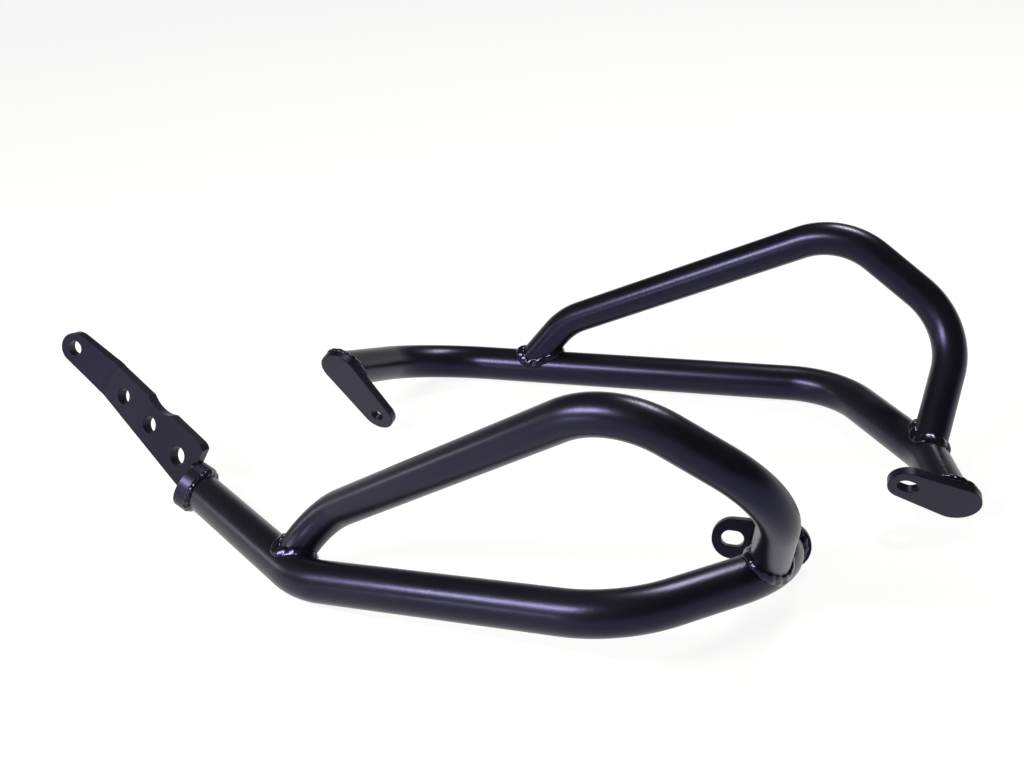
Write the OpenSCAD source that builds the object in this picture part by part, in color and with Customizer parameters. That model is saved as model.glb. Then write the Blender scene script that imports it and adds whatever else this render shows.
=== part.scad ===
// A pair of motorcycle engine crash bars, laid on a flat floor.
// Each bar is a bent main tube that carries a thinner hoop and ends in flat mounting plates.
// A bar is drawn in its own frame: the origin is the corner between its long straight and its
// rear leg, X runs rearward along the long straight, Y points inboard and Z towards the hoop.
// The far bar is drawn the same way and mirrored when it is laid down. Millimetres, Z up.

/* [Tubes] */
// Outside diameter of the main tubes
main_d = 25; // [24:0.5:25.5]
// Outside diameter of the hoop tubes
hoop_d = 22; // [20:0.5:22.5]
// Wall of the tubes
wall = 2; // [1.5:0.1:2.5]
// Centre line radius of the bends in the main tubes
main_bend_r = 62; // [56:1:63]
// Centre line radius of the bends in the hoops
hoop_bend_r = 50; // [44:1:51]

/* [Near bar: main tube] */
// Long straight, from corner to corner
near_straight = 200; // [192:1:215]
// Front leg, from its corner to the end disc
near_front_leg = 136; // [125:1:150]
// Heading of the front leg, turned inboard from straight ahead
near_front_turn = 24.5; // [22:0.5:27]
// Rise of the front leg
near_front_rise = 11; // [9:0.5:13]
// Rear leg, from corner to corner
near_rear_leg = 107.5; // [104:0.5:114]
// Heading of the rear leg, turned inboard from straight back
near_rear_turn = 55; // [53:0.5:57]
// Rise of the rear leg
near_rear_rise = -1; // [-3:0.5:1]
// End leg, from its corner to the rear plate
near_end_leg = 43; // [42:0.5:50]
// Heading of the end leg, turned inboard from straight back
near_end_turn = 115; // [112:0.5:116]
// Rise of the end leg
near_end_rise = -8.5; // [-11:0.5:-6]

/* [Near bar: hoop] */
// Front foot, ahead of the front corner along the front leg
near_foot_ahead = 19; // [17:0.5:24]
// Front shoulder, rearward from the rear corner
near_shoulder_x = -199; // [-202:0.5:-196]
// Front shoulder, inboard
near_shoulder_y = 24.5; // [22:0.5:27]
// Front shoulder, height
near_shoulder_z = 30; // [29:0.5:34]
// Crown of the hoop, rearward
near_crown_x = 11; // [8:0.5:14]
// Crown of the hoop, inboard
near_crown_y = -10; // [-13:0.5:-7]
// Crown of the hoop, height
near_crown_z = 118; // [114:0.5:120]
// Knee of the hoop, rearward
near_knee_x = 82; // [79:0.5:85]
// Knee of the hoop, inboard
near_knee_y = 20.5; // [18:0.5:23]
// Knee of the hoop, height
near_knee_z = 61; // [58:0.5:64]
// Rear foot, degrees round the bend before the end leg
near_foot_round = 25; // [20:1:30]

/* [Far bar: main tube] */
// Long straight, from corner to corner
far_straight = 316; // [305:1:330]
// Front leg, from its corner to the front plate
far_front_leg = 115.5; // [108:0.5:125]
// Heading of the front leg, turned inboard from straight ahead
far_front_turn = 83.5; // [81:0.5:85]
// Rise of the front leg
far_front_rise = 30; // [28:0.5:32]
// Rear leg, from corner to corner
far_rear_leg = 112.5; // [106:0.5:120]
// Heading of the rear leg, turned inboard from straight back
far_rear_turn = 55; // [52:0.5:58]
// Rise of the rear leg
far_rear_rise = 8; // [6:0.5:10]
// End leg, from its corner to the rear plate
far_end_leg = 50.5; // [45:0.5:58]
// Heading of the end leg, turned inboard from straight back
far_end_turn = 76; // [73:0.5:79]
// Rise of the end leg
far_end_rise = 12; // [9:0.5:14]

/* [Far bar: hoop] */
// Front foot, rearward from the rear corner
far_foot_x = -229; // [-234:0.5:-224]
// Front shoulder, rearward from the rear corner
far_shoulder_x = -197; // [-200:0.5:-194]
// Front shoulder, inboard
far_shoulder_y = -10; // [-13:0.5:-7]
// Front shoulder, height
far_shoulder_z = 36; // [34:0.5:39]
// Crown of the hoop, rearward
far_crown_x = 1; // [-2:0.5:4]
// Crown of the hoop, inboard
far_crown_y = -7.5; // [-10:0.5:-5]
// Crown of the hoop, height
far_crown_z = 122; // [118:0.5:126]
// Knee of the hoop, rearward
far_knee_x = 79; // [76:0.5:82]
// Knee of the hoop, inboard
far_knee_y = 14; // [11:0.5:17]
// Knee of the hoop, height
far_knee_z = 64.5; // [62:0.5:67]
// Rear foot, degrees round the bend before the end leg
far_foot_round = 11; // [8:1:14]

/* [Rear plates] */
// Thickness of the rear plates and of the far front plate
plate_t = 6; // [5:0.5:8]
// Tube centre to the middle of the slot
slot_reach = 26; // [25:0.5:30]
// Length of the slots
slot_length = 13; // [12:0.5:15]
// Width of the slots
slot_width = 9.6; // [8.5:0.1:10.5]
// Radius of the plate round its slot
slot_lobe_r = 12; // [11:0.5:13]
// Heading of the near plate's outer face
near_rear_facing = 106.5; // [103:0.5:110]
// Rise of the near plate's outer face
near_rear_tilt = -5.5; // [-8:0.5:-3]
// Slant of the near plate, from level towards its slot
near_rear_slant = 10; // [5:1:15]
// Radius of the near plate round its tube
near_rear_lobe_r = 13.6; // [13.5:0.1:15]
// Tube centre to the centre of that round end
near_rear_lobe_back = 5; // [4:0.5:6]
// Heading of the far plate's outer face
far_rear_facing = 86; // [83:0.5:88]
// Rise of the far plate's outer face
far_rear_tilt = -14; // [-15:0.5:-11]
// Slant of the far plate, from level towards its slot
far_rear_slant = 28; // [24:1:32]
// Radius of the far plate round its tube
far_rear_lobe_r = 14.6; // [14.5:0.1:16]
// Tube centre to the centre of that round end
far_rear_lobe_back = 6; // [5:0.5:8]

/* [Far front plate] */
// Tube centre to hole
front_hole_reach = 41; // [36:0.5:46]
// Diameter of the hole
front_hole_d = 9; // [8:0.1:11]
// Radius of the plate round its hole
front_hole_lobe_r = 12.2; // [11:0.1:13]
// Radius of the plate round its tube
front_tube_lobe_r = 14.4; // [14.3:0.1:15.5]
// Tube centre to the centre of that round end
front_lobe_back = 3; // [2.5:0.5:4]
// Heading of the plate's outer face
front_facing = 100; // [97:0.5:103]
// Rise of the plate's outer face
front_tilt = -9; // [-10:0.5:-6]
// Slant of the plate, from level towards its hole
front_slant = -64; // [-68:1:-60]

/* [Near end disc] */
// Diameter of the disc that closes the front end
disc_d = 33; // [31:0.5:36]
// Thickness of the disc
disc_t = 8.5; // [7:0.5:10]
// Heading of the disc's outer face
disc_facing = 182.5; // [179:0.5:184]
// Rise of the disc's outer face
disc_tilt = 31; // [28:0.5:33]

/* [Near front bracket] */
// Thickness of the bracket
bracket_t = 7.5; // [6:0.5:9]
// Heading of the bracket's visible face
bracket_facing = -91; // [-93:0.5:-89]
// Rise of the bracket's visible face
bracket_tilt = 14; // [12:0.5:16]
// Slope of the bracket along its length
bracket_slope = 37.5; // [35:0.5:40]
// Visible face, in front of the tube's centre at the disc
bracket_forward = 4; // [3:0.5:5]
// Lower edge at the foot, below the tube's centre
foot_below = 9.2; // [8:0.2:10]
// Upper edge at the foot, above the tube's centre
foot_above = 26.5; // [25:0.5:29]
// Radius of the upper corner at the foot
foot_corner_r = 9; // [7:0.5:11]
// Tube end to the fold, along the bracket
fold_at = 105; // [100:1:112]
// Angle of the fold
fold_angle = 15; // [12:1:18]
// Inside radius of the fold
fold_r = 20; // [15:1:25]
// Lower edge at the fold, below the tube's centre line
fold_below = 4.2; // [3:0.2:5]
// Upper edge at the fold, above the tube's centre line
fold_above = 20; // [19:0.5:21.5]
// Fold to the centre of the round tip
tip_reach = 29; // [26:0.5:33]
// Height of the tip's centre above the tube's centre line
tip_above = 9.5; // [8.5:0.5:10.5]
// Radius of the tip
tip_r = 10.5; // [9.5:0.1:11]
// Diameter of the hole at the tip
tip_hole_d = 10.4; // [9:0.1:11]
// Tube end to the second hole
second_hole_at = 88.5; // [86:0.5:91]
// Tube end to the third hole
third_hole_at = 58.5; // [56:0.5:61]
// Tube end to the fourth hole
fourth_hole_at = 26.5; // [25:0.5:29]
// Height of these holes above the tube's centre line
hole_above = 7.2; // [6.5:0.1:8]
// Diameter of the second hole
second_hole_d = 11; // [10:0.1:12]
// Diameter of the third hole
third_hole_d = 11.8; // [10.5:0.1:12.5]
// Diameter of the fourth hole
fourth_hole_d = 12.8; // [11:0.1:13.5]
// Tube end to the middle of the hollow in the upper edge
hollow_at = 61; // [59:0.5:63]
// Radius of the hollow
hollow_r = 24; // [20:0.5:28]
// Depth of the hollow
hollow_depth = 2.6; // [2:0.1:3]

/* [Weld beads] */
// Leg of a weld bead
bead_leg = 3.2; // [2.6:0.1:3.6]
// Rise and fall of a bead's leg, as a share of it
bead_wave = 0.08; // [0:0.01:0.12]

/* [Lie of the near bar] */
// Roll about the long straight
near_roll = -9.3; // [-10:0.1:-8.5]
// Pitch of the long straight
near_pitch = -7; // [-7.5:0.1:-6.5]
// Yaw on the floor
near_yaw = -28.7; // [-32:0.1:-25]
// Rear corner, rightward
near_x = 48.5; // [43:0.5:54]
// Rear corner, away from the viewer
near_y = -184.3; // [-189.3:0.5:-179.3]

/* [Lie of the far bar] */
// Roll about the long straight
far_roll = 8.7; // [8:0.1:9.4]
// Pitch of the long straight
far_pitch = 0; // [-0.5:0.1:0.5]
// Yaw on the floor
far_yaw = -19.7; // [-23:0.1:-16]
// Rear corner, rightward
far_x = 234.1; // [229.1:0.5:239.1]
// Rear corner, away from the viewer
far_y = 95.4; // [90.4:0.5:100.4]

/* [Hidden] */
$fn = 96;
tube_sides = 36;
bend_sides = 120;
main_r = main_d / 2;
hoop_r = hoop_d / 2;
bend_lap = 0.5;
bend_hair = 0.12;
flank_tuck = 0.01;
cope_gap = 0.05;
bead_gap = 0.05;
through = 1;
trim = 25;

function unit(v) = v / norm(v);
function heading(turn, rise) = [cos(rise) * cos(turn), cos(rise) * sin(turn), sin(rise)];
function square_to(v, n) = v - (v * n) * n;
function limited(value, low, high) = max(low, min(high, value));
function frame(p, x, y, z) =
  [[x[0], y[0], z[0], p[0]], [x[1], y[1], z[1], p[1]], [x[2], y[2], z[2], p[2]], [0, 0, 0, 1]];
function across(z) = unit(cross(abs(z[2]) < 0.9 ? [0, 0, 1] : [1, 0, 0], z));

// Corner points of the four tubes, front end first.
near_m1 = [-near_straight, 0, 0];
near_m0 = near_m1 + near_front_leg * heading(180 - near_front_turn, near_front_rise);
near_m3 = near_rear_leg * heading(near_rear_turn, near_rear_rise);
near_m4 = near_m3 + near_end_leg * heading(near_end_turn, near_end_rise);
near_main = [near_m0, near_m1, [0, 0, 0], near_m3, near_m4];
near_hoop = [
  near_m1 + near_foot_ahead * heading(180 - near_front_turn, near_front_rise),
  [near_shoulder_x, near_shoulder_y, near_shoulder_z],
  [near_crown_x, near_crown_y, near_crown_z],
  [near_knee_x, near_knee_y, near_knee_z],
  bend_point(near_main, 3, main_bend_r, near_foot_round)
];
far_m1 = [-far_straight, 0, 0];
far_m0 = far_m1 + far_front_leg * heading(180 - far_front_turn, far_front_rise);
far_m3 = far_rear_leg * heading(far_rear_turn, far_rear_rise);
far_m4 = far_m3 + far_end_leg * heading(far_end_turn, far_end_rise);
far_main = [far_m0, far_m1, [0, 0, 0], far_m3, far_m4];
far_hoop = [
  [far_foot_x, 0, 0],
  [far_shoulder_x, far_shoulder_y, far_shoulder_z],
  [far_crown_x, far_crown_y, far_crown_z],
  [far_knee_x, far_knee_y, far_knee_z],
  bend_point(far_main, 3, main_bend_r, far_foot_round)
];

// A path of straight legs with a bend at each inner corner.
function leg_dir(path, i) = unit(path[i + 1] - path[i]);
function is_corner(path, i) = i > 0 && i < len(path) - 1;
function bend_angle(path, i) = acos(leg_dir(path, i - 1) * leg_dir(path, i));
function cut_back(path, i, r) = is_corner(path, i) ? r * tan(bend_angle(path, i) / 2) : 0;
function leg_start(path, i, r) = path[i] + cut_back(path, i, r) * leg_dir(path, i);
function leg_end(path, i, r) = path[i + 1] - cut_back(path, i + 1, r) * leg_dir(path, i);
function bend_inward(path, i) = unit(square_to(leg_dir(path, i), leg_dir(path, i - 1)));
function bend_centre(path, i, r) = leg_end(path, i - 1, r) + r * bend_inward(path, i);
function bend_point(path, i, r, turn) =
  bend_centre(path, i, r) - r * cos(turn) * bend_inward(path, i) + r * sin(turn) * leg_dir(path, i - 1);
function drawn_out(path, length) = let (last = len(path) - 1) [
  for (i = [0:last])
    i == 0 ? path[0] - length * leg_dir(path, 0)
    : i == last ? path[last] + length * leg_dir(path, last - 1)
    : path[i]
];

// The point of a path's centre line that is nearest to p.
function nearest_on_leg(p, a, b) = a + limited((p - a) * (b - a) / ((b - a) * (b - a)), 0, 1) * (b - a);
function nearest_on_bend(p, path, i, r) =
  let (
    out = p - bend_centre(path, i, r),
    turn = atan2(out * leg_dir(path, i - 1), -out * bend_inward(path, i))
  )
  bend_point(path, i, r, limited(turn, 0, bend_angle(path, i)));
function closer(p, a, b) = norm(p - a) < norm(p - b) ? a : b;
function nearest(p, path, r, i = 0) =
  let (leg = nearest_on_leg(p, leg_start(path, i, r), leg_end(path, i, r)))
  i == len(path) - 2 ? leg
  : closer(p, closer(p, leg, nearest_on_bend(p, path, i + 1, r)), nearest(p, path, r, i + 1));

// A leg reaches a little into the bends beside it, which are a hair thicker.
module rod(path, r, d, bore = 0) {
  for (i = [0:len(path) - 2]) {
    z = leg_dir(path, i);
    x = across(z);
    low = i == 0 ? 0 : bend_lap;
    high = i == len(path) - 2 ? 0 : bend_lap;
    a = leg_start(path, i, r) - low * z;
    multmatrix(frame(a, x, cross(z, x), z))
      linear_extrude(height = norm(leg_end(path, i, r) - a) + high)
        ring(d, bore);
  }
  for (i = [1:len(path) - 2]) {
    x = -bend_inward(path, i);
    y = leg_dir(path, i - 1);
    multmatrix(frame(bend_centre(path, i, r), x, y, cross(x, y)))
      rotate_extrude(angle = bend_angle(path, i), $fn = bend_sides)
        translate([r, 0])
          ring(d + 2 * bend_hair, bore - 2 * bend_hair);
  }
}

module ring(d, bore) {
  difference() {
    circle(d = d, $fn = tube_sides);
    if (bore > 0)
      circle(d = bore, $fn = tube_sides);
  }
}

// Everything on the outer side of the plane through p.
module beyond(p, n) {
  x = across(n);
  multmatrix(frame(p, x, cross(n, x), n))
    translate([-60, -60, 0])
      cube([120, 120, 80]);
}

module main_tube(path, front_normal, rear_normal) {
  long = drawn_out(path, trim);
  difference() {
    rod(long, main_bend_r, main_d, main_d - 2 * wall);
    beyond(path[0], front_normal);
    beyond(path[len(path) - 1], rear_normal);
  }
}

module hoop_tube(path, main) {
  difference() {
    rod(path, hoop_bend_r, hoop_d, hoop_d - 2 * wall);
    rod(main, main_bend_r, main_d + 2 * cope_gap);
  }
}

// Normals, long directions and frames of the plates. A plate's frame has its origin on the tube's
// centre line at the plate's inner face, X along the plate and Z out of its outer face.
near_rear_n = heading(near_rear_facing, near_rear_tilt);
far_rear_n = heading(far_rear_facing, far_rear_tilt);
front_n = heading(front_facing, front_tilt);
disc_n = heading(disc_facing, disc_tilt);
function along(n, side, slant) =
  let (level = unit(cross([0, 0, 1], n)), up = cross(n, level))
  side * cos(slant) * level + sin(slant) * up;
function plate_frame(p, n, side, slant) = let (x = along(n, side, slant)) frame(p, x, cross(n, x), n);
bracket_n = heading(bracket_facing, bracket_tilt);

// Circles with straight flanks between them, which end a hair inside the circles.
function flank_point(c, r, from, side) =
  let (v = from - c, a = atan2(v[1], v[0]) + side * acos(r / norm(v)))
  c + (r - flank_tuck) * [cos(a), sin(a)];
module rounded_strip(back, back_r, reach, reach_r) {
  lean = acos((back_r - reach_r) / (reach + back));
  back_end = (back_r - flank_tuck) * [cos(lean), sin(lean)] - [back, 0];
  reach_end = (reach_r - flank_tuck) * [cos(lean), sin(lean)] + [reach, 0];
  translate([-back, 0])
    circle(r = back_r);
  translate([reach, 0])
    circle(r = reach_r);
  polygon([
    [back_end[0], -back_end[1]],
    [reach_end[0], -reach_end[1]],
    reach_end,
    back_end
  ]);
}

module slotted_plate(lobe_back, lobe_r) {
  difference() {
    linear_extrude(height = plate_t)
      rounded_strip(lobe_back, lobe_r, slot_reach, slot_lobe_r);
    translate([slot_reach, 0, -through])
      slot(plate_t + 2 * through);
  }
}

module slot(height) {
  half_run = (slot_length - slot_width) / 2;
  for (x = [-half_run, half_run])
    translate([x, 0, 0])
      cylinder(h = height, d = slot_width);
  translate([-half_run, -slot_width / 2, 0])
    cube([2 * half_run, slot_width, height]);
}

module hole(x, y, d, height) {
  translate([x, y, -through])
    cylinder(h = height + 2 * through, d = d);
}

// The bracket's frame: origin in front of the tube's centre, X along it, Y up its face, Z into it.
bracket_frame = plate_frame(near_m0 + bracket_forward * bracket_n, -bracket_n, 1, bracket_slope);
disc_top = near_m0 + disc_t * disc_n;
foot_corner_at = 18;
function upper_edge(x) = foot_above + (fold_above - foot_above) * x / fold_at;

module bracket_foot() {
  corner = [foot_corner_at, foot_above - foot_corner_r];
  linear_extrude(height = bracket_t) {
    translate(corner)
      circle(r = foot_corner_r);
    polygon([
      [0, -foot_below],
      [fold_at, -fold_below],
      [fold_at + bend_lap, -fold_below],
      [fold_at + bend_lap, fold_above],
      [fold_at, fold_above],
      flank_point(corner, foot_corner_r, [fold_at, fold_above], 1),
      corner,
      [0, corner[1]]
    ]);
  }
}

module bracket_fold() {
  multmatrix(frame([fold_at, 0, -fold_r], [0, 0, 1], [1, 0, 0], [0, 1, 0]))
    rotate_extrude(angle = fold_angle, $fn = bend_sides)
      translate([fold_r - bend_hair, -fold_below - bend_hair])
        square([bracket_t + 2 * bend_hair, fold_below + fold_above + 2 * bend_hair]);
}

module bracket_tip() {
  tip = [tip_reach, tip_above];
  low = [0, -fold_below];
  high = [0, fold_above];
  x = [cos(fold_angle), 0, -sin(fold_angle)];
  z = [sin(fold_angle), 0, cos(fold_angle)];
  multmatrix(frame([fold_at, 0, -fold_r] + fold_r * z, x, [0, 1, 0], z))
    difference() {
      linear_extrude(height = bracket_t) {
        translate(tip)
          circle(r = tip_r);
        polygon([
          low, flank_point(tip, tip_r, low, 1), tip, flank_point(tip, tip_r, high, -1), high,
          high - [bend_lap, 0], low - [bend_lap, 0]
        ]);
      }
      hole(tip_reach, tip_above, tip_hole_d, bracket_t);
    }
}

module near_front_bracket() {
  color([0.11, 0.11, 0.14])
    difference() {
      multmatrix(bracket_frame)
        difference() {
          union() {
            bracket_foot();
            bracket_fold();
            bracket_tip();
          }
          hole(second_hole_at, hole_above, second_hole_d, bracket_t);
          hole(third_hole_at, hole_above, third_hole_d, bracket_t);
          hole(fourth_hole_at, hole_above, fourth_hole_d, bracket_t);
          hole(hollow_at, upper_edge(hollow_at) + hollow_r - hollow_depth, 2 * hollow_r, bracket_t);
        }
      beyond(disc_top, -disc_n);
    }
}

module near_end_disc() {
  color([0.1, 0.1, 0.13])
    multmatrix(plate_frame(near_m0, disc_n, 1, 0))
      cylinder(h = disc_t, d = disc_d);
}

module near_main_tube() {
  color([0.09, 0.09, 0.12])
    main_tube(near_main, disc_n, near_rear_n);
}

module near_hoop_tube() {
  color([0.1, 0.1, 0.13])
    hoop_tube(near_hoop, near_main);
}

module near_rear_plate() {
  color([0.12, 0.12, 0.15])
    multmatrix(plate_frame(near_m4, near_rear_n, 1, near_rear_slant))
      slotted_plate(near_rear_lobe_back, near_rear_lobe_r);
}

module far_main_tube() {
  color([0.09, 0.09, 0.12])
    main_tube(far_main, front_n, far_rear_n);
}

module far_hoop_tube() {
  color([0.1, 0.1, 0.13])
    hoop_tube(far_hoop, far_main);
}

module far_front_plate() {
  color([0.12, 0.12, 0.15])
    multmatrix(plate_frame(far_m0, front_n, -1, front_slant))
      difference() {
        linear_extrude(height = plate_t)
          rounded_strip(front_lobe_back, front_tube_lobe_r, front_hole_reach, front_hole_lobe_r);
        hole(front_hole_reach, 0, front_hole_d, plate_t);
      }
}

module far_rear_plate() {
  color([0.12, 0.12, 0.15])
    multmatrix(plate_frame(far_m4, far_rear_n, 1, far_rear_slant))
      slotted_plate(far_rear_lobe_back, far_rear_lobe_r);
}

// Weld beads. A seat is what a tube's end stands on: ["tube", path], or ["plate", point, normal
// towards the tube, centre and radius of one round end, centre and radius of the other].
ring_steps = 48;
line_steps = 16;
bead_swell = 0.14;
rim_margin = 0.25;
near_seat = ["tube", near_main];
far_seat = ["tube", far_main];
disc_seat = ["plate", near_m0, -disc_n, near_m0, disc_d / 2, near_m0, disc_d / 2];
function plate_seat(p, n, x, back, back_r, reach, reach_r) =
  ["plate", p, -n, p - back * x, back_r, p + reach * x, reach_r];
near_rear_seat = plate_seat(
  near_m4, near_rear_n, along(near_rear_n, 1, near_rear_slant),
  near_rear_lobe_back, near_rear_lobe_r, slot_reach, slot_lobe_r
);
far_rear_seat = plate_seat(
  far_m4, far_rear_n, along(far_rear_n, 1, far_rear_slant),
  far_rear_lobe_back, far_rear_lobe_r, slot_reach, slot_lobe_r
);
front_seat = plate_seat(
  far_m0, front_n, along(front_n, -1, front_slant),
  front_lobe_back, front_tube_lobe_r, front_hole_reach, front_hole_lobe_r
);

function seat_height(p, seat) =
  seat[0] == "tube" ? norm(p - nearest(p, seat[1], main_bend_r)) - main_r : (p - seat[1]) * seat[2];
function seat_normal(p, seat) =
  seat[0] == "tube" ? unit(p - nearest(p, seat[1], main_bend_r)) : seat[2];
function on_seat(p, seat) = p + (bead_gap - seat_height(p, seat)) * seat_normal(p, seat);
function rim_distance(p, seat) =
  let (
    run = seat[5] - seat[3],
    share = norm(run) == 0 ? 0 : limited((p - seat[3]) * run / (run * run), 0, 1)
  )
  seat[4] + share * (seat[6] - seat[4]) - norm(p - seat[3] - share * run);
function seat_leg(p, seat, leg) =
  seat[0] == "tube" ? leg : limited(rim_distance(p, seat) - rim_margin, 0.1, leg);

// The point where the line from q along d leaves the seat.
function root_point(q, d, seat, low, high, steps = 18) =
  let (middle = (low + high) / 2)
  steps == 0 ? q + middle * d
  : seat_height(q + middle * d, seat) < 0 ? root_point(q, d, seat, middle, high, steps - 1)
  : root_point(q, d, seat, low, middle, steps - 1);

// One section of a bead: root, seat side, swelling face and tube side.
function swelling(a, b, rise) = [
  for (share = [0.25, 0.5, 0.75]) a + share * (b - a) + 4 * share * (1 - share) * rise
];
function ring_section(f, d, r, seat, phi) =
  let (
    x = across(d),
    n_t = cos(phi) * x + sin(phi) * cross(d, x),
    q = root_point(f + r * n_t, d, seat, seat[0] == "tube" ? 0 : -30, 40),
    n_s = seat_normal(q, seat),
    w_s = unit(square_to(n_t, n_s)),
    w_t = unit(square_to(n_s, n_t)),
    leg = bead_leg * (1 + bead_wave * sin(7 * phi) * cos(2 * phi)),
    reach = seat_leg(q, seat, leg),
    toe_s = on_seat(q + reach * w_s, seat),
    toe_t = on_tube(q + leg * w_t, f, d, r)
  )
  concat(
    [q + bead_gap * (n_s + n_t) / (1 + n_s * n_t), on_seat(q + reach / 2 * w_s, seat), toe_s],
    swelling(toe_s, toe_t, bead_swell * leg * unit(w_s + w_t)),
    [toe_t, on_tube(q + leg / 2 * w_t, f, d, r)]
  );
function on_tube(p, f, d, r) =
  let (c = f + ((p - f) * d) * d)
  c + (r + bead_gap) * unit(p - c);

// Skin of a bead from its sections, closed to a ring or capped at both ends.
module bead(sections, ring) {
  n = len(sections);
  m = len(sections[0]);
  steps = ring ? n - 1 : n - 2;
  walls = [
    for (i = [0:steps], k = [0:m - 1])
      let (j = (i + 1) % n, l = (k + 1) % m)
      [i * m + k, i * m + l, j * m + l, j * m + k]
  ];
  caps = ring ? [] : [[for (k = [m - 1:-1:0]) k], [for (k = [0:m - 1]) (n - 1) * m + k]];
  polyhedron([for (section = sections, p = section) p], concat(walls, caps), convexity = 6);
}

module ring_bead(f, d, r, seat) {
  color([0.16, 0.16, 0.19])
    bead([for (i = [0:ring_steps - 1]) ring_section(f, d, r, seat, 360 * i / ring_steps)], true);
}

module near_weld_front_foot() {
  ring_bead(near_hoop[0], leg_dir(near_hoop, 0), hoop_r, near_seat);
}

module near_weld_rear_foot() {
  ring_bead(near_hoop[4], -leg_dir(near_hoop, 3), hoop_r, near_seat);
}

module near_weld_end_disc() {
  ring_bead(near_m0, leg_dir(near_main, 0), main_r, disc_seat);
}

module near_weld_rear_plate() {
  ring_bead(near_m4, -leg_dir(near_main, 3), main_r, near_rear_seat);
}

module far_weld_front_foot() {
  ring_bead(far_hoop[0], leg_dir(far_hoop, 0), hoop_r, far_seat);
}

module far_weld_rear_foot() {
  ring_bead(far_hoop[4], -leg_dir(far_hoop, 3), hoop_r, far_seat);
}

module far_weld_front_plate() {
  ring_bead(far_m0, leg_dir(far_main, 0), main_r, front_seat);
}

module far_weld_rear_plate() {
  ring_bead(far_m4, -leg_dir(far_main, 3), main_r, far_rear_seat);
}

// A straight bead between the disc and one face of the bracket. n_t points out of that face.
module bracket_bead(face_point, n_t) {
  n_s = disc_n;
  w_s = unit(square_to(n_t, n_s));
  w_t = unit(square_to(n_s, n_t));
  run = cross(n_t, n_s) * bracket_up > 0 ? unit(cross(n_t, n_s)) : -unit(cross(n_t, n_s));
  turned = cross(n_t, n_s) * bracket_up > 0 ? 1 : -1;
  offset = (face_point - disc_top) * n_t / (w_s * n_t);
  middle = disc_top + offset * w_s;
  high = sqrt(pow(disc_d / 2, 2) - pow(offset + bead_leg, 2)) - rim_margin;
  low = -foot_below - (middle - face_point) * bracket_up + bead_leg / 2;
  color([0.16, 0.16, 0.19])
    bead([
      for (i = [0:line_steps])
        let (
          share = turned > 0 ? i / line_steps : 1 - i / line_steps,
          q = middle + (low + share * (high - low)) * run,
          leg = bead_leg * sqrt(1 - 0.9 * pow(2 * share - 1, 8)) * (1 + bead_wave * sin(900 * share)),
          toe_s = q + leg * w_s + bead_gap * n_s,
          toe_t = q + leg * w_t + bead_gap * n_t
        )
        concat(
          [q + bead_gap * (n_s + n_t) / (1 + n_s * n_t), toe_s],
          swelling(toe_s, toe_t, bead_swell * leg * unit(w_s + w_t)),
          [toe_t]
        )
    ], false);
}
bracket_up = cross(-bracket_n, along(-bracket_n, 1, bracket_slope));

module near_weld_bracket_face() {
  bracket_bead(near_m0 + bracket_forward * bracket_n, bracket_n);
}

module near_weld_bracket_back() {
  bracket_bead(near_m0 + (bracket_forward - bracket_t) * bracket_n, -bracket_n);
}

// How each bar lies: its lowest point touches the floor.
function floor_up(roll, pitch, side) = [-sin(pitch), side * cos(pitch) * sin(roll), cos(pitch) * cos(roll)];
function disc_low(p, n, r, up) = p * up - r * sqrt(1 - pow(n * up, 2));
function tube_low(path, up) = min(
  min([for (i = [0:len(path) - 2], p = [leg_start(path, i, main_bend_r), leg_end(path, i, main_bend_r)])
    disc_low(p, leg_dir(path, i), main_r, up)]),
  min([for (i = [1:len(path) - 2], step = [0:24])
    let (turn = bend_angle(path, i) * step / 24)
    disc_low(
      bend_point(path, i, main_bend_r, turn),
      cos(turn) * leg_dir(path, i - 1) + sin(turn) * bend_inward(path, i), main_r, up
    )])
);
function plate_low(seat, t, up) = min([
  for (face = [0, t]) min(
    disc_low(seat[3] - face * seat[2], seat[2], seat[4], up),
    disc_low(seat[5] - face * seat[2], seat[2], seat[6], up)
  )
]);
near_up = floor_up(near_roll, near_pitch, 1);
far_up = floor_up(far_roll, far_pitch, -1);
near_lift = -min(
  tube_low(near_main, near_up), plate_low(near_rear_seat, plate_t, near_up),
  plate_low(disc_seat, disc_t, near_up)
);
far_lift = -min(
  tube_low(far_main, far_up), plate_low(far_rear_seat, plate_t, far_up),
  plate_low(front_seat, plate_t, far_up)
);

module near_bar() {
  translate([near_x, near_y, near_lift])
    rotate([near_roll, near_pitch, near_yaw])
      children();
}

module far_bar() {
  translate([far_x, far_y, far_lift])
    rotate([far_roll, far_pitch, far_yaw])
      mirror([0, 1, 0])
        children();
}

near_bar() near_main_tube();
near_bar() near_hoop_tube();
near_bar() near_front_bracket();
near_bar() near_end_disc();
near_bar() near_rear_plate();
near_bar() near_weld_bracket_face();
near_bar() near_weld_bracket_back();
near_bar() near_weld_end_disc();
near_bar() near_weld_front_foot();
near_bar() near_weld_rear_foot();
near_bar() near_weld_rear_plate();
far_bar() far_main_tube();
far_bar() far_hoop_tube();
far_bar() far_front_plate();
far_bar() far_rear_plate();
far_bar() far_weld_front_plate();
far_bar() far_weld_front_foot();
far_bar() far_weld_rear_foot();
far_bar() far_weld_rear_plate();
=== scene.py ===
# %% [markdown]
# # A pair of motorcycle crash bars
# Two bent steel tubes, each with a raised hoop and flat mounting plates welded on, coated satin black.
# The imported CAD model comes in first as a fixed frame, in metres. Every piece made here takes the
# place of one of its parts, so nothing has to be fitted or moved.

# %% Load the frame
import math

import bmesh
import bpy
from mathutils import Euler, Matrix, Vector


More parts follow.
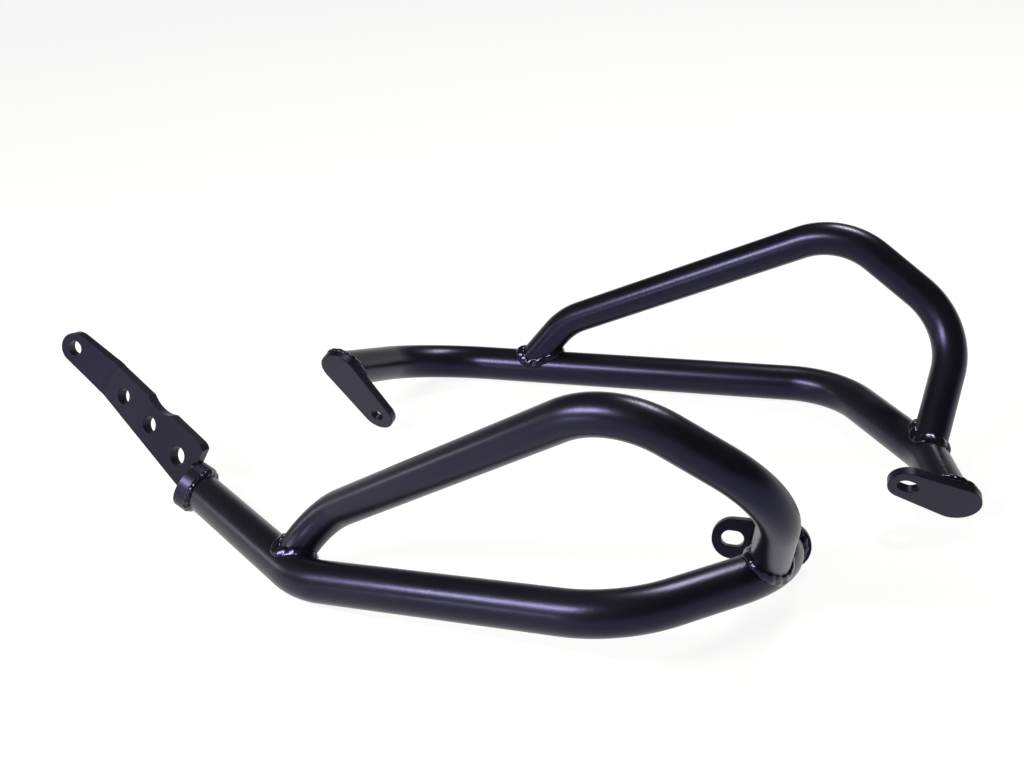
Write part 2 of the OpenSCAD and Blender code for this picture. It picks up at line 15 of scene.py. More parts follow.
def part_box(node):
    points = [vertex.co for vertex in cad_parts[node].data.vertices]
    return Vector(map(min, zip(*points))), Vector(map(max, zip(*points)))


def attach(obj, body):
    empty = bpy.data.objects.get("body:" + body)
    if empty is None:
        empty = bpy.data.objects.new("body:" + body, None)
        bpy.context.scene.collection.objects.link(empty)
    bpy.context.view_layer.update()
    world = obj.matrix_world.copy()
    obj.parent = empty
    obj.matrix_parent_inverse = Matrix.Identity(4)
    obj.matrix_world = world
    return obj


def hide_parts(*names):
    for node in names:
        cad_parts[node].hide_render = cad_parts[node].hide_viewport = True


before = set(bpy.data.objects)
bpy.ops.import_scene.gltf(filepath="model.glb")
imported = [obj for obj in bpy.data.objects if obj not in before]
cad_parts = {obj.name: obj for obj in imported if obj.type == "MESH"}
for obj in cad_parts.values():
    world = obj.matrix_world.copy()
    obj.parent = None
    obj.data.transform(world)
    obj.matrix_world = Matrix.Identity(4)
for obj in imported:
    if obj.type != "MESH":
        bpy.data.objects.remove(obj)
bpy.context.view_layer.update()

print("parts in the frame:", sorted(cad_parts))

# %% [markdown]
# ## Writing nodes as sums
# Materials and Geometry Nodes both do sums on sockets. Adding each Math node by hand makes long
# listings, so a Wire stands for one output and turns + - * / into Math nodes. A Bench adds any
# other node. Colours and vectors don't go through those signs, because a Math node turns them grey.

# %% A wire and a bench for nodes
class Wire:
    """One output of a node. A sum with it adds a Math node."""

    def __init__(self, bench, output):
        self.bench = bench
        self.output = output

    def __add__(self, other):
        return self.bench.math("ADD", self, other)

    def __radd__(self, other):
        return self.bench.math("ADD", other, self)

    def __sub__(self, other):
        return self.bench.math("SUBTRACT", self, other)

    def __rsub__(self, other):
        return self.bench.math("SUBTRACT", other, self)

    def __mul__(self, other):
        return self.bench.math("MULTIPLY", self, other)

    def __rmul__(self, other):
        return self.bench.math("MULTIPLY", other, self)

    def __truediv__(self, other):
        return self.bench.math("DIVIDE", self, other)

    def __rtruediv__(self, other):
        return self.bench.math("DIVIDE", other, self)


class Bench:
    """Where the nodes of one tree are put together."""

    def __init__(self, tree):
        self.tree = tree

    def add(self, kind, settings=None, sockets=None):
        """A node with these settings, and with a value or a wire on each of these sockets."""
        node = self.tree.nodes.new(kind)
        for name, value in (settings or {}).items():
            setattr(node, name, value)
        for name, value in (sockets or {}).items():
            self.feed(node.inputs[name], value)
        return node

    def feed(self, socket, value):
        if isinstance(value, Wire):
            self.tree.links.new(value.output, socket)
        else:
            socket.default_value = value

    def wire(self, kind, settings=None, sockets=None, output=0):
        return Wire(self, self.add(kind, settings, sockets).outputs[output])

    def math(self, operation, *values):
        return self.wire("ShaderNodeMath", {"operation": operation}, dict(enumerate(values)))

    def vector(self, operation, first, second, output="Vector"):
        return self.wire("ShaderNodeVectorMath", {"operation": operation}, {0: first, 1: second}, output)

    def stretched(self, vector, factor):
        sockets = {"Vector": vector, "Scale": factor}
        return self.wire("ShaderNodeVectorMath", {"operation": "SCALE"}, sockets, "Vector")

    def noise(self, place, size, detail, roughness):
        """Noise from 0 to 1, with lumps of about this size in metres."""
        sockets = {"Vector": place, "Scale": 1 / size, "Detail": detail, "Roughness": roughness}
        return self.wire("ShaderNodeTexNoise", {"noise_dimensions": "3D"}, sockets, "Fac")


print("a bench can add any node, and a wire its sums")

# %% [markdown]
# ## The satin black coat
# Powder coat is sprayed on as dust and baked, which leaves a skin with a faint orange peel and a
# soft gloss. A flat colour with one roughness looks like plastic film. Here two near-black tones
# with a touch of violet drift into each other over a hand's width, the gloss drifts with them, and
# a fine bump gives the peel. Everything reads Object coordinates, so nothing slides on the tubes.

# %% The powder coat as a material
COAT_DEEP = (0.0026, 0.0023, 0.0040, 1.0)
COAT_SOFT = (0.0050, 0.0045, 0.0076, 1.0)
COAT_GLEAM = (0.45, 0.43, 1.0, 1.0)
COAT_GLEAM_LEVEL = 0.36
COAT_ROUGHNESS = 0.30
DRIFT_SIZE = 1 / 14
SPECK_SIZE = 1 / 2600
TONE_DRIFT = 1.7
TONE_SPECKS = 0.6
GLOSS_DRIFT = 0.12
GLOSS_SPECKS = 0.05


def powder_coat(name, roughness, peel_size, peel_depth):
    """A coat with drifting tone and gloss, and an orange peel of the given size and depth in metres."""
    material = bpy.data.materials.new(name)
    material.use_nodes = True
    material.node_tree.nodes.clear()
    bench = Bench(material.node_tree)
    place = bench.wire("ShaderNodeTexCoord", output="Object")
    drift = bench.noise(place, DRIFT_SIZE, detail=3.0, roughness=0.55) - 0.5
    speck = bench.noise(place, SPECK_SIZE, detail=0.0, roughness=0.5) - 0.5
    peel = bench.noise(place, peel_size, detail=1.5, roughness=0.4)
    depth = drift * TONE_DRIFT + speck * TONE_SPECKS + 0.5
    tone = bench.wire(
        "ShaderNodeMix", {"data_type": "RGBA"}, {"Factor": depth, "A": COAT_DEEP, "B": COAT_SOFT}, "Result",
    )
    bump = bench.wire("ShaderNodeBump", None, {"Height": peel, "Distance": peel_depth, "Strength": 1.0})
    coat = bench.add("ShaderNodeBsdfPrincipled", None, {
        "Base Color": tone,
        "Roughness": roughness + drift * GLOSS_DRIFT + speck * GLOSS_SPECKS,
        "Normal": bump,
        "Metallic": 0.0,
        "IOR": 1.5,
        "Specular IOR Level": COAT_GLEAM_LEVEL,
        "Specular Tint": COAT_GLEAM,
    })
    out = bench.add("ShaderNodeOutputMaterial")
    bench.tree.links.new(coat.outputs["BSDF"], out.inputs["Surface"])
    return material


# %% Coats for the tubes, the plates and the welds
PLATES_DULLER = 0.06
WELDS_GLOSSIER = 0.1

tube_coat = powder_coat("tube_coat", COAT_ROUGHNESS, peel_size=0.0016, peel_depth=0.00003)
plate_coat = powder_coat("plate_coat", COAT_ROUGHNESS + PLATES_DULLER, peel_size=0.0013, peel_depth=0.00004)
weld_coat = powder_coat("weld_coat", COAT_ROUGHNESS - WELDS_GLOSSIER, peel_size=0.0021, peel_depth=0.0001)
print("coats:", [m.name for m in (tube_coat, plate_coat, weld_coat)])

# %% [markdown]
# ## From a tree to a plain mesh
# A Geometry Nodes modifier stays live until its result is asked for. Each piece here is wanted as
# one plain mesh with the object at the origin, so the modifier's inputs are set by the identifier
# of their socket, the result is copied out and the modifier goes.

# %% Start a Geometry Nodes tree and finish it
def new_tree(name, inputs):
    """A tree with a geometry in, a geometry out and named inputs {name: (type, value)}, and its bench."""
    tree = bpy.data.node_groups.new(name, "GeometryNodeTree")
    tree.interface.new_socket("Geometry", in_out="INPUT", socket_type="NodeSocketGeometry")
    tree.interface.new_socket("Geometry", in_out="OUTPUT", socket_type="NodeSocketGeometry")
    for label, (kind, value) in inputs.items():
        socket = tree.interface.new_socket(label, in_out="INPUT", socket_type=kind)
        if value is not None:
            socket.default_value = value
    bench = Bench(tree)
    group_input = bench.add("NodeGroupInput")
    given = {label: Wire(bench, group_input.outputs[label]) for label in ["Geometry", *inputs]}
    return tree, bench, given


def finish_tree(bench, shape, coat):
    """Smooth the shape, make its instances real, coat it and lead it out of the tree."""
    smooth = bench.wire("GeometryNodeSetShadeSmooth", None, {"Geometry": shape, "Shade Smooth": True})
    real = bench.wire("GeometryNodeRealizeInstances", None, {"Geometry": smooth})
    coated = bench.wire("GeometryNodeSetMaterial", None, {"Geometry": real, "Material": coat})
    bench.add("NodeGroupOutput", None, {"Geometry": coated})
    print("tree:", bench.tree.name, "with", len(bench.tree.nodes), "nodes")


# %% Make a plain piece and hand it over
def placed(name, mesh):
    """An object at the origin that shows this mesh."""
    piece = bpy.data.objects.new(name, mesh)
    bpy.context.scene.collection.objects.link(piece)
    return piece


def evaluated_mesh(raw, name):
    """What the modifiers of a raw object make, as a mesh of its own. The raw object goes."""
    bpy.context.view_layer.update()
    graph = bpy.context.evaluated_depsgraph_get()
    mesh = bpy.data.meshes.new_from_object(raw.evaluated_get(graph))
    raw.modifiers.clear()
    bpy.data.objects.remove(raw)
    mesh.name = name
    return mesh


def baked(name, mesh, tree, values):
    """The plain mesh object that the tree makes of mesh with these values."""
    raw = placed(name + "_raw", mesh)
    modifier = raw.modifiers.new(tree.name, "NODES")
    modifier.node_group = tree
    identifiers = {s.name: s.identifier for s in tree.interface.items_tree if s.in_out == "INPUT"}
    for label, value in values.items():
        modifier[identifiers[label]] = value
    piece = placed(name, evaluated_mesh(raw, name))
    print(name, "has", len(piece.data.vertices), "points")
    return piece


def hand_over(piece, node):
    """The piece rides on the one body, and the CAD node it stands for is hidden."""
    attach(piece, "root")
    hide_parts(node)


# %% [markdown]
# ## The paths of the tubes
# A bar is drawn before it is bent: a list of straight legs, each with its length and the way it
# heads. The same drawing is used here, with the same sizes as in the CAD. Its origin is the corner
# between the long straight and the rear leg, X runs rearward along the long straight, Y points
# inboard and Z towards the hoop. Typing in the finished corners would hide all of that.

# %% Headings, legs and bends
MAIN_RADIUS = 0.0125
HOOP_RADIUS = 0.011
MAIN_BEND = 0.062
HOOP_BEND = 0.050
# The turn that points forward, against the long straight's run.
AHEAD = 180.0
# Every tube has five corners, its ends among them, so four legs.
FIRST_LEG = 0
LAST_LEG = 3
LAST_BEND = 3


def heading(turn, rise):
    """A direction from its turn on the level and its rise, in degrees."""
    turn = math.radians(turn)
    rise = math.radians(rise)
    return Vector((math.cos(rise) * math.cos(turn), math.cos(rise) * math.sin(turn), math.sin(rise)))


def leg(path, i):
    """The heading of a path's leg from corner i."""
    return (path[i + 1] - path[i]).normalized()


def on_bend(path, i, radius, turn):
    """The point that many degrees round the bend at corner i."""
    before = leg(path, i - 1)
    after = leg(path, i)
    inward = (after - after.dot(before) * before).normalized()
    start = path[i] - radius * math.tan(before.angle(after) / 2) * before
    turn = math.radians(turn)
    return start + radius * (1 - math.cos(turn)) * inward + radius * math.sin(turn) * before


def main_corners(straight, front, rear, end):
    """Corners of a main tube, front end first. Each leg is its length, its inboard turn and its rise."""
    front_length, front_turn, front_rise = front
    rear_length, rear_turn, rear_rise = rear
    end_length, end_turn, end_rise = end
    front_corner = Vector((-straight, 0.0, 0.0))
    rear_corner = Vector((0.0, 0.0, 0.0))
    front_end = front_corner + front_length * heading(AHEAD - front_turn, front_rise)
    last_corner = rear_corner + rear_length * heading(rear_turn, rear_rise)
    rear_end = last_corner + end_length * heading(end_turn, end_rise)
    return [front_end, front_corner, rear_corner, last_corner, rear_end]


def hoop_corners(front_foot, shoulder, crown, knee, rear_foot):
    """Corners of a hoop tube, front foot first. Both feet stand on the line of the main tube."""
    return [front_foot, Vector(shoulder), Vector(crown), Vector(knee), rear_foot]


print("tubes of", 2 * MAIN_RADIUS, "and", 2 * HOOP_RADIUS, "m across")

# %% Draw the near bar and the far bar
# Front feet in metres: before the near bar's front corner, and forward of the far bar's rear corner.
NEAR_FRONT_FOOT = 0.019
FAR_FRONT_FOOT = 0.229
# Rear feet in degrees round the last bend.
NEAR_REAR_FOOT = 25.0
FAR_REAR_FOOT = 11.0

near_main = main_corners(
    straight=0.200,
    front=(0.136, 24.5, 11.0),
    rear=(0.1075, 55.0, -1.0),
    end=(0.043, 115.0, -8.5),
)
near_hoop = hoop_corners(
    front_foot=near_main[1] - NEAR_FRONT_FOOT * leg(near_main, FIRST_LEG),
    shoulder=(-0.199, 0.0245, 0.030),
    crown=(0.011, -0.010, 0.118),
    knee=(0.082, 0.0205, 0.061),
    rear_foot=on_bend(near_main, LAST_BEND, MAIN_BEND, NEAR_REAR_FOOT),
)
far_main = main_corners(
    straight=0.316,
    front=(0.1155, 83.5, 30.0),
    rear=(0.1125, 55.0, 8.0),
    end=(0.0505, 76.0, 12.0),
)
far_hoop = hoop_corners(
    front_foot=Vector((-FAR_FRONT_FOOT, 0.0, 0.0)),
    shoulder=(-0.197, -0.010, 0.036),
    crown=(0.001, -0.0075, 0.122),
    knee=(0.079, 0.014, 0.0645),
    rear_foot=on_bend(far_main, LAST_BEND, MAIN_BEND, FAR_REAR_FOOT),
)
for name, path in (("near", near_main), ("far", far_main)):
    print(name, "main tube has legs of", [round((b - a).length, 4) for a, b in zip(path, path[1:])])

# %% Lay both bars on the floor
def lie(roll, pitch, yaw, rear_corner):
    """How a bar lies: its turns in degrees, and where its rear corner is when its lowest point rests."""
    turns = Euler([math.radians(v) for v in (roll, pitch, yaw)], "XYZ")
    return Matrix.Translation(rear_corner) @ turns.to_matrix().to_4x4()


def laid(path, how):
    return [how @ point for point in path]


# The far bar is for the other side, so its drawing is mirrored.
OTHER_HAND = Matrix.Diagonal((1.0, -1.0, 1.0, 1.0))
near_lie = lie(roll=-9.3, pitch=-7.0, yaw=-28.7, rear_corner=(0.0485, -0.1843, 0.03826))
far_lie = lie(roll=8.7, pitch=0.0, yaw=-19.7, rear_corner=(0.2341, 0.0954, 0.01353)) @ OTHER_HAND
near_main = laid(near_main, near_lie)
near_hoop = laid(near_hoop, near_lie)
far_main = laid(far_main, far_lie)
far_hoop = laid(far_hoop, far_lie)

disc_facing = near_lie.to_3x3() @ heading(turn=182.5, rise=31.0)
near_rear_facing = near_lie.to_3x3() @ heading(turn=106.5, rise=-5.5)
front_plate_facing = far_lie.to_3x3() @ heading(turn=100.0, rise=-9.0)
far_rear_facing = far_lie.to_3x3() @ heading(turn=86.0, rise=-14.0)
print("crowns at", tuple(round(v, 4) for v in near_hoop[2]), tuple(round(v, 4) for v in far_hoop[2]))

# %% [markdown]
# ## The bent tubes
# A tube bender leaves straight legs with round bends of one radius. Modelling that by hand means a
# bevelled curve or an extruded ring; both hide the rule. Here the rule is a tree: the corners of the
# path become a curve, Fillet Curve rounds them with the bender's radius, and Curve to Mesh runs
# the tube's section along it. The first and last rings are then slid along their legs onto the
# planes that the saw cut, where the plates are welded on.

# %% The tree that bends a tube
BEND_STEPS = 24
TUBE_SIDES = 64
# Shares of a path's length, just past its first ring and just before its last.
FIRST_RING = 0.00001
LAST_RING = 0.99999


def tube_tree():
    tree, bench, given = new_tree("bent tube", {
        "Tube radius": ("NodeSocketFloat", HOOP_RADIUS),
        "Bend radius": ("NodeSocketFloat", HOOP_BEND),
        "Steps in a bend": ("NodeSocketInt", BEND_STEPS),
        "Sides": ("NodeSocketInt", TUBE_SIDES),
        "Front plane": ("NodeSocketVector", (0.0, 0.0, 1.0)),
        "Rear plane": ("NodeSocketVector", (0.0, 0.0, 1.0)),
        "Front end": ("NodeSocketVector", (0.0, 0.0, 0.0)),
        "Rear end": ("NodeSocketVector", (0.0, 0.0, 0.0)),
        "Coat": ("NodeSocketMaterial", None),
    })
    corners = bench.wire("GeometryNodeMeshToCurve", None, {"Mesh": given["Geometry"]})
    bent = bench.wire(
        "GeometryNodeFilletCurve", {"mode": "POLY"},
        {"Curve": corners, "Count": given["Steps in a bend"], "Radius": given["Bend radius"]},
    )
    share = bench.wire("GeometryNodeSplineParameter", output="Factor")
    marked = bench.wire(
        "GeometryNodeStoreNamedAttribute", {"data_type": "FLOAT", "domain": "POINT"},
        {"Geometry": bent, "Name": "along", "Value": share},
    )
    aimed = bench.wire(
        "GeometryNodeStoreNamedAttribute", {"data_type": "FLOAT_VECTOR", "domain": "POINT"},
        {"Geometry": marked, "Name": "heading", "Value": bench.wire("GeometryNodeInputTangent")},
    )
    section = bench.wire(
        "GeometryNodeCurvePrimitiveCircle", {"mode": "RADIUS"},
        {"Resolution": given["Sides"], "Radius": given["Tube radius"]},
    )
    tube = bench.wire(
        "GeometryNodeCurveToMesh", None, {"Curve": aimed, "Profile Curve": section, "Fill Caps": True},
    )

    def stored(name, data_type):
        settings = {"data_type": data_type}
        return bench.wire("GeometryNodeInputNamedAttribute", settings, {"Name": name}, "Attribute")

    along = stored("along", "FLOAT")
    way = stored("heading", "FLOAT_VECTOR")
    point = bench.wire("GeometryNodeInputPosition")

    def cut(shape, plane, end, ring):
        """Slide one ring along the tube onto the plane through its end."""
        gap = bench.vector("DOT_PRODUCT", bench.vector("SUBTRACT", end, point), plane, "Value")
        slide = gap / bench.vector("DOT_PRODUCT", way, plane, "Value")
        sockets = {"Geometry": shape, "Selection": ring, "Offset": bench.stretched(way, slide)}
        return bench.wire("GeometryNodeSetPosition", None, sockets)

    first = bench.math("LESS_THAN", along, FIRST_RING)
    last = bench.math("GREATER_THAN", along, LAST_RING)
    tube = cut(tube, given["Front plane"], given["Front end"], first)
    tube = cut(tube, given["Rear plane"], given["Rear end"], last)
    finish_tree(bench, tube, given["Coat"])
    return tree


bent_tube = tube_tree()


# %% Run the four tubes along their paths
def corner_mesh(name, path):
    mesh = bpy.data.meshes.new(name)
    mesh.from_pydata(path, [(i, i + 1) for i in range(len(path) - 1)], [])
    return mesh


def run_tube(node, path, radius, bend, front_plane, rear_plane):
    piece = baked(node + "_bent", corner_mesh(node + "_corners", path), bent_tube, {
        "Tube radius": radius,
        "Bend radius": bend,
        "Steps in a bend": BEND_STEPS,
        "Sides": TUBE_SIDES,
        "Front plane": tuple(front_plane),
        "Rear plane": tuple(rear_plane),
        "Front end": tuple(path[0]),
        "Rear end": tuple(path[-1]),
        "Coat": tube_coat,
    })
    hand_over(piece, node)


run_tube("near_main_tube", near_main, MAIN_RADIUS, MAIN_BEND, disc_facing, near_rear_facing)
run_tube("far_main_tube", far_main, MAIN_RADIUS, MAIN_BEND, front_plate_facing, far_rear_facing)
for node, path in (("near_hoop_tube", near_hoop), ("far_hoop_tube", far_hoop)):
    run_tube(node, path, HOOP_RADIUS, HOOP_BEND, leg(path, FIRST_LEG), leg(path, LAST_LEG))

# %% [markdown]
# ## The plates
# The plates are cut from flat bar and tumbled before coating, which leaves their edges slightly
# round; the coat then catches a thin line of light there. The CAD plates have knife edges. A copy
# of each keeps its outline exactly, has its triangles joined to whole faces, and gets a small bevel.

# %% Merge a copy of a CAD part
SAME_POINT = 0.000002
FLAT = math.radians(1.2)
PAIR_ANGLE = math.radians(60)
PAIR_SHAPE = math.radians(120)


def join_flat_faces(shape):
    bmesh.ops.dissolve_degenerate(shape, edges=shape.edges, dist=SAME_POINT)
    bmesh.ops.dissolve_limit(shape, angle_limit=FLAT, verts=shape.verts, edges=shape.edges)


def pair_triangles(shape):
    bmesh.ops.join_triangles(
        shape, faces=shape.faces, angle_face_threshold=PAIR_ANGLE, angle_shape_threshold=PAIR_SHAPE,
    )
    bmesh.ops.recalc_face_normals(shape, faces=shape.faces)


def merged_copy(node, tidy_faces):
    """A copy of a CAD part's mesh, its points merged and its faces then joined by tidy_faces."""
    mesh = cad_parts[node].data.copy()
    shape = bmesh.new()
    shape.from_mesh(mesh)
    bmesh.ops.remove_doubles(shape, verts=shape.verts, dist=SAME_POINT)
    tidy_faces(shape)
    shape.to_mesh(mesh)
    shape.free()
    mesh.materials.clear()
    return mesh


print("points closer than", SAME_POINT, "m are merged")

# %% Round the edges of the plates
SHARP = math.radians(38)
PLATE_EDGE = 0.0006
BRACKET_EDGE = 0.0005


def edged_plate(node, edge):
    """A copy of the CAD plate with its edges rounded by edge metres."""
    mesh = merged_copy(node, join_flat_faces)
    mesh.materials.append(plate_coat)
    mesh.shade_smooth()
    raw = placed(node + "_raw", mesh)
    round_off = raw.modifiers.new("round off", "BEVEL")
    round_off.width = edge
    round_off.segments = 3
    round_off.limit_method = "ANGLE"
    round_off.angle_limit = SHARP
    round_off.use_clamp_overlap = True
    even = raw.modifiers.new("even shading", "WEIGHTED_NORMAL")
    even.mode = "FACE_AREA"
    even.keep_sharp = True
    name = node + "_edged"
    piece = placed(name, evaluated_mesh(raw, name))
    hand_over(piece, node)
    print(name, "has", len(piece.data.polygons), "faces")


edged_plate("near_front_bracket", BRACKET_EDGE)
for node in ("near_end_disc", "near_rear_plate", "far_front_plate", "far_rear_plate"):
    edged_plate(node, PLATE_EDGE)

# %% [markdown]
# ## The weld beads
# A hand-laid weld freezes in small crescents and never runs quite even. Sculpting ten beads would
# take long and give ten unlike results. Each CAD bead is a plain ring or bar of the right size, so a
# tree rounds it with Subdivision Surface and pushes its skin out along the normal: by a scalloped
# wave that counts the crescents round the tube or along the run, and by coarse noise for the lumps.

# %% The tree that ripples a bead
CRESCENT_HEIGHT = 0.0004
LUMP_HEIGHT = 0.0024
LUMP_SIZE = 0.009
FILL = 0.0008
# A direction that no tube runs along, to square the round of a bead from.
ASKEW = (0.31, 0.52, 0.8)


def bead_tree():
    tree, bench, given = new_tree("weld bead", {
        "Centre": ("NodeSocketVector", (0.0, 0.0, 0.0)),
        "Axis": ("NodeSocketVector", (0.0, 0.0, 1.0)),
        "Straight": ("NodeSocketBool", False),
        "Crescents": ("NodeSocketInt", 16),
        "Run length": ("NodeSocketFloat", 0.03),
        "Crescent height": ("NodeSocketFloat", CRESCENT_HEIGHT),
        "Lump height": ("NodeSocketFloat", LUMP_HEIGHT),
        "Lump size": ("NodeSocketFloat", LUMP_SIZE),
        "Fill": ("NodeSocketFloat", FILL),
        "Coat": ("NodeSocketMaterial", None),
    })
    sockets = {"Mesh": given["Geometry"], "Level": 2}
    rounded = bench.wire("GeometryNodeSubdivisionSurface", None, sockets)
    point = bench.wire("GeometryNodeInputPosition")
    arm = bench.vector("SUBTRACT", point, given["Centre"])
    across = bench.vector("CROSS_PRODUCT", given["Axis"], ASKEW)
    level = bench.vector("NORMALIZE", across, (0.0, 0.0, 0.0))
    upright = bench.vector("CROSS_PRODUCT", given["Axis"], level)
    rise = bench.vector("DOT_PRODUCT", arm, upright, "Value")
    reach = bench.vector("DOT_PRODUCT", arm, level, "Value")
    on_ring = bench.math("ARCTAN2", rise, reach) / 2
    on_run = bench.vector("DOT_PRODUCT", arm, given["Axis"], "Value") * math.pi / given["Run length"]
    phase = bench.wire(
        "GeometryNodeSwitch", {"input_type": "FLOAT"},
        {"Switch": given["Straight"], "False": on_ring, "True": on_run},
    )
    crescent = bench.math("ABSOLUTE", bench.math("SINE", phase * given["Crescents"]))
    lump = bench.noise(point, given["Lump size"], detail=1.0, roughness=0.4) - 0.5
    push = given["Fill"] + crescent * given["Crescent height"] + lump * given["Lump height"]
    offset = bench.stretched(bench.wire("GeometryNodeInputNormal"), push)
    pushed = bench.wire("GeometryNodeSetPosition", None, {"Geometry": rounded, "Offset": offset})
    finish_tree(bench, pushed, given["Coat"])
    return tree


weld_bead = bead_tree()


# %% Lay the beads
FOOT_CRESCENTS = 16
PLATE_CRESCENTS = 18
BRACKET_CRESCENTS = 6


def lay_bead(node, axis, crescents, straight=False):
    """A rippled bead round this axis, or, for a straight one, along it."""
    low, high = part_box(node)
    piece = baked(node + "_rippled", merged_copy(node, pair_triangles), weld_bead, {
        "Centre": tuple((low + high) / 2),
        "Axis": tuple(axis),
        "Straight": straight,
        "Crescents": crescents,
        "Run length": (high - low).length,
        "Crescent height": CRESCENT_HEIGHT,
        "Lump height": LUMP_HEIGHT,
        "Lump size": LUMP_SIZE,
        "Fill": FILL,
        "Coat": weld_coat,
    })
    hand_over(piece, node)


lay_bead("near_weld_front_foot", leg(near_hoop, FIRST_LEG), FOOT_CRESCENTS)
lay_bead("near_weld_rear_foot", leg(near_hoop, LAST_LEG), FOOT_CRESCENTS)
lay_bead("near_weld_end_disc", leg(near_main, FIRST_LEG), PLATE_CRESCENTS)
lay_bead("near_weld_rear_plate", leg(near_main, LAST_LEG), PLATE_CRESCENTS)
lay_bead("far_weld_front_foot", leg(far_hoop, FIRST_LEG), FOOT_CRESCENTS)
lay_bead("far_weld_rear_foot", leg(far_hoop, LAST_LEG), FOOT_CRESCENTS)
lay_bead("far_weld_front_plate", leg(far_main, FIRST_LEG), PLATE_CRESCENTS)
lay_bead("far_weld_rear_plate", leg(far_main, LAST_LEG), PLATE_CRESCENTS)
for node in ("near_weld_bracket_face", "near_weld_bracket_back"):
    low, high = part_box(node)
    lay_bead(node, (high - low).normalized(), BRACKET_CRESCENTS, straight=True)

# %% [markdown]
# ## Camera
# The camera stands where the photographer's did: half a metre in front of the near bar, looking
# down and a little tilted. Aiming it at the bars with a constraint would lose that tilt. Its place,
# its two angles and its focal length of 1250 pixels were fitted to the corners of the tubes in the
# photograph, so they are written down as numbers.

# %% Set the camera
CAMERA_PLACE = (0.0053, -0.6929, 0.4247)
LOOKS_DOWN = 26.19
TILTS_CLOCKWISE = 4.95
FOCAL_PIXELS = 1250
IMAGE_WIDTH = 1024
SENSOR_WIDTH = 36.0

camera_data = bpy.data.cameras.new("camera")
camera_data.sensor_width = SENSOR_WIDTH
camera_data.lens = SENSOR_WIDTH * FOCAL_PIXELS / IMAGE_WIDTH
camera_data.clip_start = 0.01
camera = placed("camera", camera_data)
upright = Matrix.Rotation(math.radians(90 - LOOKS_DOWN), 4, "X")
tilt = Matrix.Rotation(math.radians(-TILTS_CLOCKWISE), 4, "Z")
camera.matrix_world = Matrix.Translation(CAMERA_PLACE) @ upright @ tilt
bpy.context.scene.camera = camera
print("lens", round(camera_data.lens, 2), "mm")

# %% [markdown]
# ## Floor and surround
# The photograph has a pure white surround. More light would burn out the object, so the white
# comes from Light Path: to the camera and to reflections the floor is mostly its own white, and
# the rest of it is lit as usual and keeps the contact shadow. The world does the same, and its
# upper part is dim in reflections, as a studio's ceiling is.

# %% Lay the floor
WHITE = (1.0, 1.0, 1.0, 1.0)
FLOOR_PAINT = (0.9, 0.9, 0.9, 1.0)
FLOOR_OWN_WHITE = 0.9
FLOOR_REACH = 6.0


def seen_as_backdrop(bench):
    """1 for rays from the camera and for mirrored or refracted rays, 0 for the rest."""
    path = bench.add("ShaderNodeLightPath")
    camera_ray = Wire(bench, path.outputs["Is Camera Ray"])
    glossy_ray = Wire(bench, path.outputs["Is Glossy Ray"])
    clear_ray = Wire(bench, path.outputs["Is Transmission Ray"])
    return bench.math("MAXIMUM", camera_ray, bench.math("MAXIMUM", glossy_ray, clear_ray))


def floor_paint():
    material = bpy.data.materials.new("floor_white")
    material.use_nodes = True
    material.node_tree.nodes.clear()
    bench = Bench(material.node_tree)
    lit = bench.add("ShaderNodeBsdfDiffuse", None, {"Color": FLOOR_PAINT})
    own = bench.add("ShaderNodeEmission", None, {"Color": WHITE, "Strength": 1.0})
    both = bench.add("ShaderNodeMixShader", None, {"Fac": seen_as_backdrop(bench) * FLOOR_OWN_WHITE})
    out = bench.add("ShaderNodeOutputMaterial")
    bench.tree.links.new(lit.outputs[0], both.inputs[1])
    bench.tree.links.new(own.outputs[0], both.inputs[2])
    bench.tree.links.new(both.outputs[0], out.inputs["Surface"])
    return material


floor_mesh = bpy.data.meshes.new("floor")
floor_corners = [(x * FLOOR_REACH, y * FLOOR_REACH, 0.0) for x, y in ((-1, -1), (1, -1), (1, 1), (-1, 1))]
floor_mesh.from_pydata(floor_corners, [], [(0, 1, 2, 3)])
floor_mesh.materials.append(floor_paint())
floor = placed("floor", floor_mesh)
print("floor of", 2 * FLOOR_REACH, "m")

# %% Set the world
WORLD_LIGHT = 0.15
CEILING = {"From Min": -0.1, "From Max": 0.35, "To Min": 0.95, "To Max": 0.02}


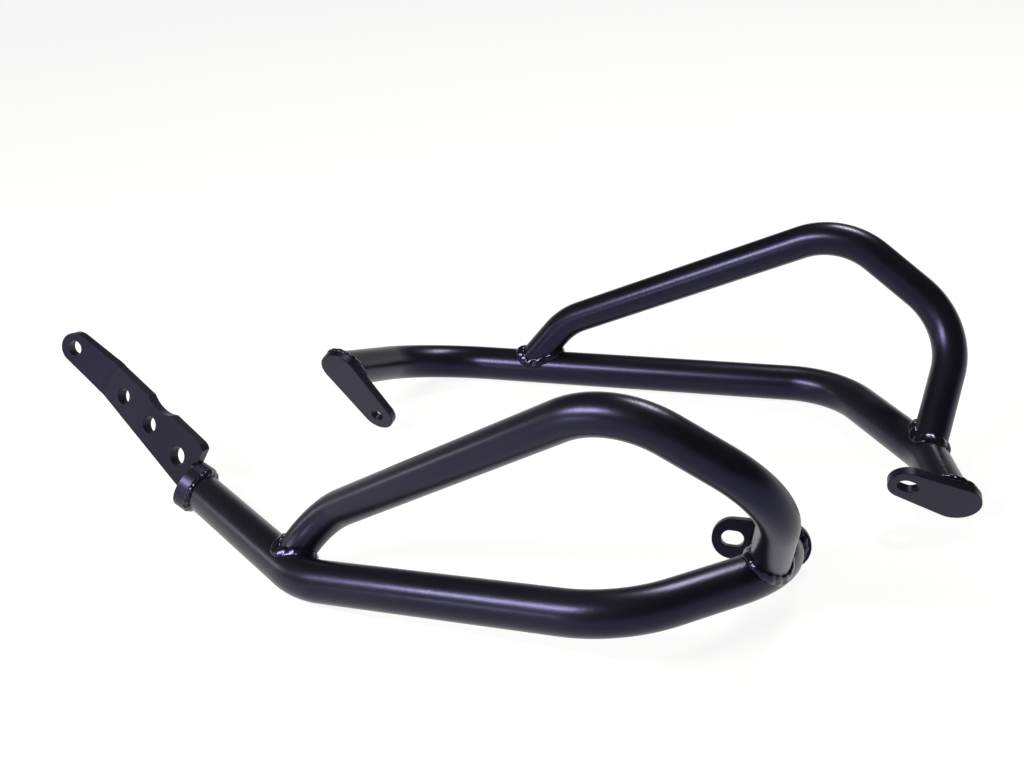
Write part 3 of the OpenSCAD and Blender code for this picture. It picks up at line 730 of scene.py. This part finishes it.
def studio():
    """White to the camera, a dim ceiling to reflections and a low even light to everything else."""
    world = bpy.data.worlds.new("studio")
    world.use_nodes = True
    world.node_tree.nodes.clear()
    bench = Bench(world.node_tree)
    toward = bench.wire("ShaderNodeTexCoord", output="Generated")
    height = bench.wire("ShaderNodeSeparateXYZ", None, {"Vector": toward}, "Z")
    settings = {"interpolation_type": "SMOOTHSTEP"}
    ceiling = bench.wire("ShaderNodeMapRange", settings, {"Value": height, **CEILING})
    camera_ray = bench.wire("ShaderNodeLightPath", output="Is Camera Ray")
    backdrop = seen_as_backdrop(bench)
    shown = camera_ray + (1 - camera_ray) * ceiling
    strength = backdrop * shown + (1 - backdrop) * WORLD_LIGHT
    surround = bench.add("ShaderNodeBackground", None, {"Color": WHITE, "Strength": strength})
    out = bench.add("ShaderNodeOutputWorld")
    bench.tree.links.new(surround.outputs[0], out.inputs["Surface"])
    return world


bpy.context.scene.world = studio()
print("world light", WORLD_LIGHT)

# %% [markdown]
# ## Lamps
# A satin tube shows a lamp as a streak along it, where it mirrors the lamp to the camera. A point
# lamp gives one spot, so soft panels are hung instead, each where the streaks of the photograph
# point: a long one at the left for the straights, one at the right for the rear legs, and two low
# ones at the left for the hoops.

# %% Hang the lamps
LAMP_WHITE = (1.0, 0.98, 0.8)


def soft_lamp(name, place, aim, width, height, power):
    data = bpy.data.lights.new(name, "AREA")
    data.shape = "RECTANGLE"
    data.size = width
    data.size_y = height
    data.energy = power
    data.color = LAMP_WHITE
    turned = (Vector(aim) - Vector(place)).to_track_quat("-Z", "Y").to_matrix().to_4x4()
    placed(name, data).matrix_world = Matrix.Translation(place) @ turned
    print(name, "gives", power, "W")


soft_lamp("long_lamp", (-0.76, -0.45, 0.78), aim=(-0.34, 0.46, -0.02), width=0.72, height=0.18, power=29.0)
soft_lamp("right_lamp", (0.60, 0.60, 1.20), aim=(0.1, 0.0, 0.08), width=0.45, height=0.22, power=18.0)
soft_lamp("left_wall_lamp", (-1.16, 0.21, 0.31), aim=(0.0, -0.1, 0.08), width=0.16, height=0.2, power=1.1)
soft_lamp("low_lamp", (-0.78, -0.66, 0.18), aim=(0.05, 0.05, 0.08), width=0.3, height=0.12, power=1.5)
bpy.context.scene.view_settings.view_transform = "Standard"
